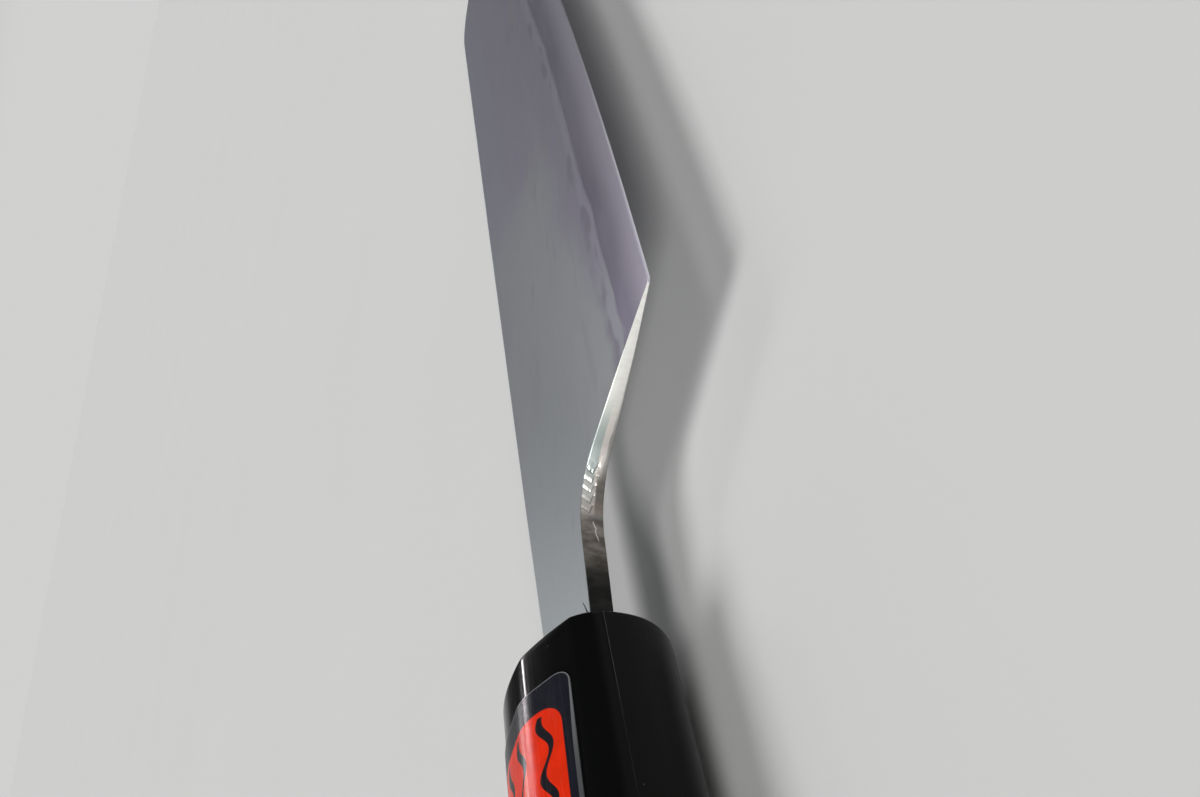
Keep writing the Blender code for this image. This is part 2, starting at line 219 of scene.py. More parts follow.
def ripples(along, across, shortest, longest, seed, count=9):
    """A smooth irregular wave of about -1 to 1: a mean of sines with drawn headings and phases."""
    draw = np.random.default_rng(seed)
    headings = draw.uniform(0, 2 * np.pi, count)
    phases = draw.uniform(0, 2 * np.pi, count)
    total = 0.0
    for length, heading, phase in zip(np.geomspace(shortest, longest, count), headings, phases):
        path = along * np.cos(heading) + across * np.sin(heading)
        total = total + np.sin(2 * np.pi * path / length + phase)
    return total * 1.7 / count


def choil_curve_points():
    """Start, corner and end of the curve between the neck's underside and the heel."""
    corner_x = (HEEL_X - HEEL_LEAN * (NECK_Y - HEEL_Y)) / (1 - HEEL_LEAN * NECK_FLARE)
    corner = np.array([corner_x, NECK_Y - NECK_FLARE * corner_x])
    along_neck = np.array([-1, NECK_FLARE]) / math.hypot(1, NECK_FLARE)
    along_heel = np.array([HEEL_LEAN, -1]) / math.hypot(1, HEEL_LEAN)
    return corner + CHOIL_CURVE * along_neck, corner, corner + CHOIL_CURVE * along_heel


CHOIL_START, CHOIL_CORNER, CHOIL_END = choil_curve_points()


def edge_y(x):
    """The cutting edge: a straight rise and a belly that grows as the square of the way along."""
    share = np.maximum(x - HEEL_X, 0) / BLADE_LENGTH
    return HEEL_Y + EDGE_RISE * share + EDGE_BELLY * share**2


def spine_y(x):
    """The spine: a straight fall, a parabola down to the tip, and in the handle the tang's top."""
    past = np.maximum(x - DROP_X, 0) / TIP_DROP_LENGTH
    tip_drop = SPINE_HEIGHT - SPINE_FALL - edge_y(TIP_X)
    tang_fall = (NECK_HEIGHT - TANG_END_HEIGHT) / 2 * np.minimum(x, 0) / TANG_LENGTH
    return SPINE_HEIGHT - SPINE_FALL * x / TIP_X - tip_drop * past**2 + tang_fall


def lower_y(x):
    """The lower outline: tang, neck, a quadratic Bezier round the choil, the heel's line, the edge."""
    start, corner, end = CHOIL_START, CHOIL_CORNER, CHOIL_END
    bend = start[0] - 2 * corner[0] + end[0]
    slope = corner[0] - start[0]
    t = (-slope + np.sqrt(np.maximum(slope**2 - bend * (start[0] - x), 0))) / bend
    curve = (1 - t) ** 2 * start[1] + 2 * t * (1 - t) * corner[1] + t**2 * end[1]
    tang = NECK_Y - (NECK_HEIGHT - TANG_END_HEIGHT) / 2 * x / TANG_LENGTH
    return np.select(
        [x >= HEEL_X, x >= end[0], x > start[0], x >= 0],
        [edge_y(x), HEEL_Y + (HEEL_X - x) / HEEL_LEAN, curve, NECK_Y - NECK_FLARE * x],
        tang,
    )


def half_thickness(x, y):
    """Half the steel: a straight bevel at the edge, then a convex grind of power 1.5 up to the flat."""
    height = np.maximum(y - edge_y(x), 0)
    rise = 1 - (1 - np.minimum(height / GRIND_HEIGHT, 1)) ** GRIND_POWER
    full = np.interp(x, THICKNESS_PLACES, THICKNESSES) / 2
    return np.minimum(full * (GRIND_FLOOR + (1 - GRIND_FLOOR) * rise), BEVEL_SLOPE * height)


def lamination_y(x, wave):
    """Where the core comes out of the cladding: a set height over the edge, and an irregular wave."""
    return edge_y(x) + LAMINATION_HEIGHT + wave * ripples(x, 0.0, 0.0062, 0.041, seed=4)


def core_half(x, wave):
    """Half the core at x: the steel's own half thickness at the lamination line."""
    return half_thickness(x, lamination_y(x, wave))


def blade_stations():
    """Places along the blade, closest together round the choil."""
    runs = [
        np.linspace(-TANG_LENGTH, 0, 12),
        np.linspace(0, CHOIL_START[0], 90),
        np.linspace(CHOIL_START[0], CHOIL_END[0], 190),
        np.linspace(CHOIL_END[0], HEEL_X, 120),
        np.linspace(HEEL_X, DROP_X, 230),
        np.linspace(DROP_X, TIP_X, 80),
    ]
    return np.unique(np.round(np.concatenate(runs), 8))


def outline_run(x):
    """The way along the lower outline from the mouth, and the outline's outward direction."""
    y = lower_y(x)
    lengths = np.hypot(np.diff(x), np.diff(y))
    run = np.concatenate([[0], np.cumsum(lengths)])
    run = run - np.interp(0.0, x, run)
    slope = np.gradient(y, x)
    outward = np.stack([slope, -np.ones_like(slope)], axis=-1) / np.hypot(slope, 1)[:, None]
    return run, outward, np.hypot(slope, 1)


def crack_path(run):
    """Where the fine lamination crack lies across the choil: a drift with a jagged wave."""
    drift = np.interp(run, (0.0160, 0.0175, 0.0182, 0.0190), (-0.00078, -0.00032, -0.00046, -0.00012))
    return drift + 0.00006 * ripples(run, 0.0, 0.0004, 0.0016, seed=26)


def crack_mask(run, z):
    """1 on the crack and 0 beside it, fading at both ends."""
    ends = smooth_step(run, *CRACK_START) * (1 - smooth_step(run, *CRACK_END))
    return ends * (1 - smooth_step(np.abs(z - crack_path(run)), *CRACK_WIDTH))


def choil_relief(run, z):
    """How far the choil's face stands out: chatter notches at the curve, scale on the neck, fine lines.

    A notch line falls slantwise from the right-hand side to the middle, and turns up
    there in a short hook. Between two notches the face rises as a rounded tooth.
    """
    hook = NOTCH_HOOK * np.clip(NOTCH_TURN - z, 0, NOTCH_HOOK_WIDTH)
    slant = NOTCH_SLANT * np.maximum(z - NOTCH_TURN, 0) + hook
    way = run - slant + 0.00010 * ripples(run, 2.0 * z, 0.0009, 0.004, seed=21)
    tooth = np.mod((way - NOTCH_START[1]) / NOTCH_PITCH, 1.0)
    along = smooth_step(way, *NOTCH_START) * (1 - smooth_step(way, *NOTCH_END))
    inside = along * smooth_step(z, -0.0005, -0.0001)
    groove = (1 - smooth_step(tooth, 0.0, 0.34)) + smooth_step(tooth, 0.80, 1.0)
    deep = 1 + 0.5 * ripples(run, 2.0 * z, 0.0011, 0.005, seed=27)
    chatter = -inside * deep * (NOTCH_GROOVE * groove + NOTCH_TOOTH * tooth)
    rough = ripples(run, z, 0.0005, 0.0022, seed=22) + 0.8 * ripples(run, 0.4 * z, 0.0012, 0.005, seed=23)
    scale = SCALE_RELIEF * rough * (1 - smooth_step(run, *SCALE_END))
    lines = BRUSH_RELIEF * ripples(run, 0.15 * z, 0.00030, 0.0008, seed=24)
    crown = -CHOIL_CROWN * (z / 0.0015) ** 2
    return chatter + scale + lines + crown + CRACK_RISE * crack_mask(run, z)


def handle_sizes(x):
    """Half the handle's width and height: a quarter sine of swell, less the rounding of both ends."""
    swell = np.sin(np.pi / 2 * np.clip(-x / HANDLE_LENGTH, 0, 1))
    inset = np.zeros_like(x)
    for radius, depth in ((RIM_ROUND, -x), (BUTT_ROUND, HANDLE_LENGTH + x)):
        fall = radius - np.sqrt(np.maximum(radius**2 - np.maximum(radius - depth, 0) ** 2, 0))
        inset = np.maximum(inset, fall)
    half_width = (MOUTH_WIDTH + (BUTT_WIDTH - MOUTH_WIDTH) * swell) / 2 - inset
    half_height = (MOUTH_HEIGHT + (BUTT_HEIGHT - MOUTH_HEIGHT) * swell) / 2 - inset
    return half_width, half_height


def lower_of(first, second, blend_width):
    """The lower of two heights, with the corner where they cross rounded over a width."""
    blend = np.clip(0.5 + 0.5 * (first - second) / blend_width, 0, 1)
    return first + (second - first) * blend - blend_width / 2 * blend * (1 - blend)


def shaped(x, y, z, ridge_blend):
    """The oval's z cut down by the facet below the ridge, and on the left by a shallow flat."""
    half_width, half_height = handle_sizes(x)
    ridge_z = half_width * (1 - (RIDGE_DROP / half_height) ** SECTION_POWER) ** (1 / SECTION_POWER)
    below = y + RIDGE_DROP
    facet = ridge_z + FACET_SLOPE * below - np.minimum(below, 0) ** 2 / (2 * FACET_RADIUS)
    left = -lower_of(half_width - LEFT_FLAT_DEPTH, -z, LEFT_FLAT_BLEND)
    return np.where(z > 0, lower_of(facet, z, ridge_blend), left)


def handle_point(x, angle):
    """The handle's section, a superellipse of power 2.3, at an angle from the spine over the right side."""
    half_width, half_height = handle_sizes(x)
    power = 2 / SECTION_POWER
    y = half_height * np.sign(np.cos(angle)) * np.abs(np.cos(angle)) ** power
    z = half_width * np.sign(np.sin(angle)) * np.abs(np.sin(angle)) ** power
    return y, shaped(x, y, z, FACET_BLEND)


def label_base(x, y):
    """The z of the handle's right-hand surface at x and y, with the ridge as round as the film bends."""
    half_width, half_height = handle_sizes(x)
    share = np.minimum(np.abs(y) / half_height, 1)
    oval = half_width * (1 - share**SECTION_POWER) ** (1 / SECTION_POWER)
    return shaped(x, y, oval, LABEL_BLEND)


def handle_stations():
    """Places along the handle, closest together over the rounded rim and butt."""
    quarter = 1 - np.cos(np.linspace(0, np.pi / 2, 9))
    long_quarter = 1 - np.cos(np.linspace(0, np.pi / 2, 18))
    body = np.linspace(-RIM_ROUND, -HANDLE_LENGTH + BUTT_ROUND, 190)
    runs = [-RIM_ROUND * quarter, body, -HANDLE_LENGTH + BUTT_ROUND * long_quarter]
    return np.unique(np.round(np.concatenate(runs), 8))


# Objects and meshes


def add_object(name, data):
    """A new object, linked to the scene."""
    made = bpy.data.objects.new(name, data)
    bpy.context.scene.collection.objects.link(made)
    return made


def tube_faces(rows, columns, capped):
    """The quads of a tube of rows x columns points, and its two end caps if it has them."""
    i = np.arange(rows - 1)[:, None]
    j = np.arange(columns)[None, :]
    after = (j + 1) % columns
    corners = [i * columns + j, i * columns + after, (i + 1) * columns + after, (i + 1) * columns + j]
    quads = np.stack(corners, axis=-1).reshape(-1, 4).tolist()
    last = (rows - 1) * columns
    caps = [list(range(columns)), list(range(last, last + columns))]
    return quads + caps * capped


def add_piece(name, grid, surface, values=None, print_map=None, capped=True):
    """Makes a tube through the rows of a grid an object of its own, welded and facing outwards."""
    rows, columns = grid.shape[:2]
    mesh = bpy.data.meshes.new(name)
    mesh.from_pydata((grid + MOUTH).reshape(-1, 3), [], tube_faces(rows, columns, capped))
    for label, value in (values or {}).items():
        layer = mesh.attributes.new(label, "FLOAT", "POINT")
        layer.data.foreach_set("value", np.broadcast_to(value, (rows, columns)).ravel().astype(np.float32))
    if print_map is not None:
        corners = np.empty(len(mesh.loops), np.int32)
        mesh.loops.foreach_get("vertex_index", corners)
        layer = mesh.uv_layers.new(name="print")
        layer.data.foreach_set("uv", print_map.reshape(-1, 2)[corners].ravel().astype(np.float32))
    bm = bmesh.new()
    bm.from_mesh(mesh)
    bmesh.ops.remove_doubles(bm, verts=bm.verts, dist=WELD)
    bmesh.ops.recalc_face_normals(bm, faces=bm.faces)
    bm.to_mesh(mesh)
    bm.free()
    mesh.shade_smooth()
    mesh.set_sharp_from_angle(angle=SMOOTH_ANGLE)
    if surface:
        mesh.materials.append(surface)
    return add_object(name, mesh)


def show_as(piece, node):
    """Lets a piece ride on the body and stand for a CAD node, which it hides."""
    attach(piece, BODY)
    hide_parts(node)


def carve(piece, cutter):
    """Cuts one closed piece out of another for good, and removes the cutter."""
    modifier = piece.modifiers.new("cut", "BOOLEAN")
    modifier.operation = "DIFFERENCE"
    modifier.solver = "EXACT"
    modifier.object = cutter
    bpy.context.view_layer.update()
    graph = bpy.context.evaluated_depsgraph_get()
    carved = bpy.data.meshes.new_from_object(piece.evaluated_get(graph))
    piece.modifiers.clear()
    piece.data = carved
    carved.set_sharp_from_angle(angle=SMOOTH_ANGLE)
    bpy.data.objects.remove(cutter)


def joined(*parts):
    """One array of points or pairs from arrays that stretch to fit each other."""
    return np.stack(np.broadcast_arrays(*parts), axis=-1)


def stack(*parts):
    """Lays x, y, z arrays side by side along a ring and returns one grid of points."""
    return np.concatenate([joined(*part) for part in parts], axis=1)


# Materials


def toned(color, factor):
    """A colour made lighter or darker by a factor."""
    return [factor * channel for channel in color]


class Nodes:
    """A node tree, with short ways to add the nodes used here."""

    def __init__(self, tree):
        self.tree = tree

    def node(self, kind, settings=None, **inputs):
        made = self.tree.nodes.new("ShaderNode" + kind)
        for key, value in (settings or {}).items():
            setattr(made, key, value)
        for key, value in inputs.items():
            self.feed(made.inputs[key], value)
        return made

    def feed(self, socket, value):
        if isinstance(value, bpy.types.NodeSocket):
            self.tree.links.new(value, socket)
        elif socket.type == "RGBA":
            socket.default_value = (*value, 1.0)
        else:
            socket.default_value = value

    def math(self, operation, *values):
        made = self.node("Math", {"operation": operation})
        for socket, value in zip(made.inputs, values):
            self.feed(socket, value)
        return made.outputs[0]

    def times(self, first, second):
        return self.math("MULTIPLY", first, second)

    def plus(self, first, second):
        return self.math("ADD", first, second)

    def minus(self, first, second):
        return self.math("SUBTRACT", first, second)

    def vector(self, operation, *values, out="Vector"):
        made = self.node("VectorMath", {"operation": operation})
        for socket, value in zip(made.inputs, values):
            self.feed(socket, value)
        return made.outputs[out]

    def place(self, scale, shift=0.0):
        """Object coordinates, moved by a shift and stretched by a scale for each direction."""
        coordinates = self.node("TexCoord").outputs["Object"]
        return self.vector("MULTIPLY", self.vector("ADD", coordinates, (0.0, 0.0, shift)), scale)

    def noise(self, scale, detail, roughness=0.5, distortion=0.0, shift=0.0):
        inputs = {"Vector": self.place(scale, shift), "Scale": 1.0, "Detail": detail}
        made = self.node("TexNoise", None, **inputs, Roughness=roughness, Distortion=distortion)
        return made.outputs[0]

    def value(self, name):
        """A value stored on the mesh."""
        return self.node("Attribute", {"attribute_name": name}).outputs["Fac"]

    def ramp(self, value, low, high, start=0.0, end=1.0):
        """An S-shaped step from start to end while the value goes from low to high."""
        made = self.node("MapRange", {"interpolation_type": "SMOOTHSTEP"}, Value=value)
        for key, number in (("From Min", low), ("From Max", high), ("To Min", start), ("To Max", end)):
            self.feed(made.inputs[key], number)
        return made.outputs[0]

    def mix(self, share, first, second):
        made = self.node("Mix", {"data_type": "RGBA"})
        for socket, value in ((0, share), (6, first), (7, second)):
            self.feed(made.inputs[socket], value)
        return made.outputs[2]

    def bump(self, height, strength, distance):
        return self.node("Bump", None, Strength=strength, Distance=distance, Height=height).outputs[0]


class Finish(Nodes):
    """A material: its node tree ends in the shader that finish feeds."""

    def __init__(self, name):
        self.material = bpy.data.materials.new(name)
        self.material.use_nodes = True
        super().__init__(self.material.node_tree)

    def finish(self, **inputs):
        """Feeds the shader's own sockets; underscores stand for spaces."""
        shader = self.tree.nodes["Principled BSDF"]
        for key, value in inputs.items():
            self.feed(shader.inputs[key.replace("_", " ")], value)
        return self.material


def choil_tint(mat, brushing):
    """The polished choil: mint on the right, cream in the middle, grey on the left, brushed across, with a
    painted highlight and painted shade over the notches.
    """
    across, run = mat.value("across"), mat.value("run")
    wander = mat.math("MULTIPLY_ADD", mat.noise((260, 260, 260), detail=3), 0.7, -0.35)
    place = mat.plus(across, wander)
    beyond = mat.ramp(run, *MINT_RUN)
    mint = mat.mix(beyond, (0.335, 0.375, 0.365), (0.68, 0.69, 0.65))
    # Over the notches the mint turns pale grey: a painted highlight.
    mint = mat.mix(mat.ramp(run, 26.0, 23.8), mint, (0.62, 0.62, 0.60))
    cream = mat.mix(beyond, (0.56, 0.53, 0.495), (0.68, 0.67, 0.64))
    tint = mat.mix(mat.ramp(place, *MINT_ACROSS), cream, mint)
    grey = mat.times(mat.ramp(place, -0.70, -0.95), mat.ramp(run, 36.0, 30.0, 0.25, 1.0))
    tint = mat.mix(grey, tint, (0.30, 0.29, 0.28))
    # Painted shade: a dark patch just left of the middle, over the notches.
    painted_shade = mat.times(mat.ramp(place, -0.10, -0.45), mat.ramp(run, 27.0, 24.0))
    tint = mat.mix(mat.times(painted_shade, 0.95), tint, (0.15, 0.135, 0.12))
    tint = mat.mix(mat.ramp(run, 23.5, 19.5, 0.0, 0.6), tint, (0.44, 0.36, 0.31))
    brushed = mat.noise((1500, 1500, 500), detail=3)
    return mat.mix(mat.ramp(brushed, 0.42, 0.75, 0.0, brushing), tint, (0.38, 0.37, 0.36))


def crust_tint(mat):
    """The forge scale under the neck: brown-grey with fine lines across, nearly black towards the mouth."""
    run = mat.value("run")
    flakes = mat.noise((700, 700, 320), detail=5, roughness=0.6)
    brown = mat.mix(mat.ramp(flakes, 0.36, 0.66), (0.105, 0.092, 0.080), (0.25, 0.225, 0.20))
    # Nearly black towards the mouth.
    near_black = mat.mix(mat.ramp(flakes, 0.40, 0.70), (0.005, 0.005, 0.004), (0.020, 0.020, 0.015))
    return mat.mix(mat.ramp(run, 17.0, 8.5), brown, near_black)


def with_underside(mat, tint, brushing):
    """Lays the choil's polish and the scale over a tint, and says how far a spot is each of them."""
    strip, run = mat.value("strip"), mat.value("run")
    start, end = POLISH_RUN
    polished = mat.times(strip, mat.ramp(run, start, end))
    scaled = mat.times(strip, mat.ramp(run, end, start))
    tint = mat.mix(polished, tint, choil_tint(mat, brushing))
    return mat.mix(scaled, tint, crust_tint(mat)), polished, scaled


def steel_roughness(mat, grain, swing, middle, *rougher):
    """A roughness that swings about its middle with the grain, and grows where a spot is rougher."""
    rough = mat.math("MULTIPLY_ADD", grain, swing, middle - swing / 2)
    for spot, growth in rougher:
        rough = mat.math("MULTIPLY_ADD", spot, growth, rough)
    return rough


def wavy_lines(mat, stretch, shift):
    """Thin wandering lines along the blade: the contours of a noise that is stretched along it."""
    field = mat.noise(stretch, detail=1.5, roughness=0.35, distortion=0.25, shift=shift)
    folded = mat.math("PINGPONG", mat.times(field, 4.0), 0.5)
    return mat.ramp(folded, 0.34, 0.0)


def cladding_finish(look):
    """Satin steel with wavy grain, greenish near the neck, purple beside the lamination line, and a darker
    purple towards the tip that is partly the steel's tint and partly painted shade.

    Dark drops lie just above the line, with a paler band between.
    """
    mat = Finish("satin_soft_steel")
    height, run = mat.value("height"), mat.value("run")
    above = mat.minus(height, mat.value("line"))
    clouds = mat.noise((26, 60, 60), detail=3)
    smudges = mat.noise((110, 300, 300), detail=2)
    fine = mat.noise((120, 1700, 1700), detail=2)
    beside = mat.times(mat.ramp(above, 11.0, 1.0, 0.0, 0.30), mat.ramp(run, 58.0, 76.0))
    # Towards the tip the tint turns to the darker shade: partly the steel's own tint, partly painted shade
    # for the blade's darker reflection there.
    purple = mat.plus(mat.ramp(run, 55.0, 200.0, -0.24, 0.26), beside)
    purple = mat.ramp(mat.plus(clouds, purple), 0.30, 0.66)
    tint = mat.mix(purple, look.cladding_color, look.cladding_shade)
    blue = mat.times(mat.ramp(height, 24.0, 33.0), mat.ramp(run, 90.0, 150.0))
    tint = mat.mix(mat.times(blue, 0.7), tint, look.cladding_blue)
    broken = mat.ramp(mat.noise((75, 170, 170), detail=2), 0.42, 0.60)
    zone = mat.times(mat.ramp(height, 27.0, 14.0, 0.22, 1.0), broken)
    streaks = mat.times(wavy_lines(mat, (17, 120, 120), 0.0), zone)
    second = mat.times(wavy_lines(mat, (30, 170, 170), 0.31), zone)
    streaks = mat.math("MAXIMUM", streaks, mat.times(second, 0.6))
    tint = mat.mix(mat.times(streaks, 0.55), tint, toned(look.cladding_color, 0.80))
    pale = mat.times(mat.ramp(above, 0.2, 0.9), mat.ramp(above, 2.6, 1.4))
    tint = mat.mix(mat.times(pale, 0.5), tint, toned(look.cladding_shade, 1.25))
    dark = toned(look.cladding_shade, 0.72)
    drops = mat.ramp(mat.noise((100, 300, 300), detail=1), 0.50, 0.64)
    drops = mat.times(drops, mat.times(mat.ramp(above, 4.6, 2.2), mat.ramp(above, 0.9, 1.6)))
    tint = mat.mix(mat.times(drops, 0.9), tint, dark)
    tint = mat.mix(mat.ramp(above, 0.45, 0.0, 0.0, 0.7), tint, look.core_shade)
    tint = mat.mix(mat.ramp(smudges, 0.62, 0.80, 0.0, 0.35), tint, dark)
    tint, polished, scaled = with_underside(mat, tint, 0.21)
    rough = steel_roughness(mat, fine, 0.06, look.cladding_roughness, (polished, 0.06), (scaled, 0.30))
    metal = mat.ramp(scaled, 0.0, 1.0, 1.0, 0.5)
    relief = mat.bump(fine, 0.025, 0.00001)
    return mat.finish(Base_Color=tint, Roughness=rough, Metallic=metal, Normal=relief)


def core_finish(look):
    """Hard steel, darker and smoother, with cloudy grain, darkest where the cladding ends."""
    mat = Finish("polished_hard_steel")
    height, run, crack = mat.value("height"), mat.value("run"), mat.value("crack")
    clouds = mat.noise((40, 150, 150), detail=2)
    grain = mat.noise((160, 1400, 1400), detail=1)
    tint = mat.mix(mat.ramp(clouds, 0.36, 0.66), look.core_color, look.core_shade)
    tint = mat.mix(mat.ramp(height, 6.5, 0.3, 0.0, 0.8), tint, (0.545, 0.530, 0.625))
    below = mat.minus(height, mat.value("line"))
    dark = mat.times(mat.ramp(below, -2.2, -0.1), mat.ramp(run, 70.0, 160.0, 0.05, 0.35))
    tint = mat.mix(dark, tint, toned(look.core_shade, 0.85))
    tint = mat.mix(mat.ramp(height, 0.20, 0.10, 0.0, 0.8), tint, (0.72, 0.72, 0.73))
    tint, polished, scaled = with_underside(mat, tint, 0.18)
    tint = mat.mix(crack, tint, (0.80, 0.76, 0.70))
    rough = steel_roughness(mat, grain, 0.05, look.core_roughness, (polished, 0.12), (scaled, 0.32))
    metal = mat.ramp(mat.minus(scaled, crack), 0.0, 1.0, 1.0, 0.5)
    relief = mat.bump(grain, 0.02, 0.00001)
    return mat.finish(Base_Color=tint, Roughness=rough, Metallic=metal, Normal=relief)


def resin_finish(look):
    """Near-black moulded resin: deep gloss, a faint orange-peel, hairline rubs and a few specks of dust."""
    mat = Finish("black_gloss_resin")
    peel = mat.noise((420, 420, 420), detail=2)
    rubs = mat.noise((60, 2400, 2400), detail=3, distortion=0.4)
    specks = mat.node("TexVoronoi", None, Vector=mat.place((520, 520, 520)), Scale=1.0)
    dust = mat.times(mat.ramp(specks.outputs["Distance"], 0.075, 0.05), mat.ramp(peel, 0.56, 0.60))
    tint = mat.mix(dust, look.resin_color, [channel + 0.06 for channel in look.resin_color])
    # The grey on the flash is a painted highlight along the seam.
    flash = mat.times(mat.value("flash"), 0.8)
    tint = mat.mix(flash, tint, (0.12, 0.12, 0.12))
    rough = mat.ramp(rubs, 0.50, 0.78, look.resin_roughness, look.resin_roughness + 0.10)
    rough = mat.math("MULTIPLY_ADD", flash, 0.4, rough)
    relief = mat.bump(peel, 0.05, 0.00012)
    gloss = mat.ramp(mat.value("rubbed"), 0.0, 1.0, 0.05, 0.52)
    return mat.finish(Base_Color=tint, Roughness=rough, Normal=relief, Specular_IOR_Level=gloss)


def label_finish(look):
    """Glossy navy film with a grey line at its border and a red panel crossed by dark waves."""
    mat = Finish("printed_label_film")
    print_map = mat.node("UVMap", {"uv_map": "print"}).outputs["UV"]
    spot = mat.vector("MULTIPLY", print_map, (1000 * PRINT_UNIT, 1000 * PRINT_UNIT, 0.0))
    axes = mat.node("SeparateXYZ", None, Vector=spot)
    back, up = axes.outputs["X"], axes.outputs["Y"]
    mottle = mat.noise((300, 300, 300), detail=3)
    tint = mat.mix(mat.ramp(mottle, 0.3, 0.7), look.film_color, toned(look.film_color, 1.3))
    middle = [start + half for start, half in zip(PANEL_START, PANEL_HALF)]
    away = mat.vector("ABSOLUTE", mat.vector("SUBTRACT", spot, middle))
    straight = (PANEL_HALF[0] - PANEL_CORNER, PANEL_HALF[1] - PANEL_CORNER, 0.0)
    away = mat.vector("MAXIMUM", mat.vector("SUBTRACT", away, straight), (0.0, 0.0, 0.0))
    outside = mat.vector("LENGTH", away, out="Value")
    panel = mat.ramp(outside, PANEL_CORNER + 0.05, PANEL_CORNER - 0.05)
    rim = PANEL_CORNER - PANEL_MARGIN
    inner = mat.ramp(outside, rim + 0.05, rim - 0.05)
    turns = mat.times(back, 2 * math.pi / WAVE_LENGTH)
    sway = mat.times(mat.math("SINE", turns), WAVE_SWAY)
    swell = mat.math("SINE", mat.plus(turns, WAVE_LAG))
    crest = mat.math("PINGPONG", mat.plus(up, sway), look.wave_pitch * 500)
    thick = mat.math("MULTIPLY_ADD", swell, 0.16, 0.44)
    wave = mat.times(mat.ramp(mat.minus(crest, thick), 0.04, -0.04), inner)
    ink = mat.mix(mat.ramp(mottle, 0.35, 0.65), look.panel_color, toned(look.panel_color, 0.86))
    tint = mat.mix(panel, tint, mat.mix(wave, ink, (0.010, 0.010, 0.014)))
    width = mat.ramp(back, 0.6, 12.0, 0.13, 0.48)
    border = mat.ramp(mat.minus(mat.value("inset"), width), 0.02, -0.02)
    # Painted highlight: the border line is lighter near the front edge and darker further back.
    painted_border_highlight = mat.mix(mat.ramp(back, 3.0, 16.0), look.border_color, toned(look.border_color, 0.5))
    tint = mat.mix(border, tint, painted_border_highlight)
    rubs = mat.noise((80, 1800, 1800), detail=3)
    rough = mat.ramp(rubs, 0.45, 0.8, look.film_roughness, look.film_roughness + 0.10)
    relief = mat.bump(mottle, 0.03, 0.0001)
    gloss = mat.ramp(mat.value("rubbed"), 0.0, 1.0, 0.09, 0.80)
    return mat.finish(Base_Color=tint, Roughness=rough, Normal=relief, Specular_IOR_Level=gloss)


def seal_finish():
    """Dull dark resin, uneven, paler on its raised lumps."""
    mat = Finish("dull_seal_resin")
    lumps = mat.noise((1500, 1500, 1500), detail=4)
    tint = mat.mix(mat.ramp(lumps, 0.4, 0.65), (0.012, 0.011, 0.010), (0.045, 0.040, 0.034))
    rough = mat.ramp(lumps, 0.3, 0.7, 0.42, 0.62)
    return mat.finish(Base_Color=tint, Roughness=rough, Normal=mat.bump(lumps, 0.3, 0.00005))


def pin_finish():
    """Plain turned steel, with tool marks round it."""
    mat = Finish("turned_pin_steel")
    marks = mat.noise((120, 120, 5200), detail=3)
    tint = mat.mix(mat.ramp(marks, 0.35, 0.65), (0.50, 0.50, 0.51), (0.62, 0.61, 0.60))
    rough = mat.ramp(marks, 0.3, 0.7, 0.28, 0.42)
    relief = mat.bump(marks, 0.2, 0.00002)
    return mat.finish(Base_Color=tint, Roughness=rough, Metallic=1.0, Normal=relief)


def floor_finish(look):
    """A pale matt board with the faintest mottle."""
    mat = Finish("pale_studio_floor")
    mottle = mat.noise((9, 9, 9), detail=5)
    tint = mat.mix(mottle, look.floor_color, toned(look.floor_color, 0.97))
    return mat.finish(Base_Color=tint, Roughness=0.9, Specular_IOR_Level=0.0)


# Settings


def setting(kind, **shown):
    """Makes a function that declares a setting of one kind, which can't go below nought."""
    return lambda name, description, default: kind(
        name=name, description=description, default=default, min=0.0, **shown
    )


length = setting(FloatProperty, unit="LENGTH", subtype="DISTANCE", precision=5)
color = setting(FloatVectorProperty, size=3, max=1.0, subtype="COLOR")
share = setting(FloatProperty, max=1.0, subtype="FACTOR")


class BladeSettings(bpy.types.PropertyGroup):
    """What a user may change on the blade."""

    wave: length("Lamination wave", "How far the lamination line wanders up and down", 0.00055)
    step: length("Lamination step", "How far the cladding's edge stands above the core", 0.000004)
    undulation: length("Forged undulation", "How far the flats rise and sink", 0.000010)
    cladding_color: color("Cladding colour", "The satin outer layers", (0.306, 0.336, 0.345))
    cladding_shade: color("Cladding shade", "The darker clouds in the outer layers", (0.258, 0.256, 0.320))
    cladding_blue: color("Cladding blue", "The bluish steel near the spine", (0.235, 0.262, 0.318))
    cladding_roughness: share("Cladding roughness", "How matt the satin is", 0.36)
    core_color: color("Core colour", "The hard steel along the edge", (0.302, 0.292, 0.368))
    core_shade: color("Core shade", "The darker clouds in the hard steel", (0.240, 0.234, 0.305))
    core_roughness: share("Core roughness", "How matt the core is", 0.30)


class HandleSettings(bpy.types.PropertyGroup):
    """What a user may change on the handle."""

    resin_color: color("Resin colour", "The moulded resin", (0.0044, 0.0048, 0.0046))
    resin_roughness: share("Resin roughness", "How matt the resin is", 0.15)


class LabelSettings(bpy.types.PropertyGroup):
    """What a user may change on the label."""

    film_color: color("Film colour", "The ground of the label", (0.0085, 0.0095, 0.0150))
    panel_color: color("Panel colour", "The panel across the ridge", (0.90, 0.030, 0.003))
    border_color: color("Border colour", "The line at the border", (0.17, 0.175, 0.18))
    film_roughness: share("Film roughness", "How matt the film is", 0.24)
    wave_pitch: length("Wave pitch", "From one wave on the panel to the next", 0.0043)


class StageSettings(bpy.types.PropertyGroup):
    """What a user may change on the stage."""

    floor_color: color("Floor colour", "The board that the knife lies on", (0.74, 0.74, 0.735))
    wall_color: color("Wall colour", "The surroundings near the horizon", (0.635, 0.635, 0.63))
    ceiling_color: color("Ceiling colour", "The surroundings overhead and the screen", (0.02, 0.02, 0.022))


GROUPS = {
    "knife_blade": BladeSettings,
    "knife_handle": HandleSettings,
    "knife_label": LabelSettings,
    "knife_stage": StageSettings,
}


# Pieces


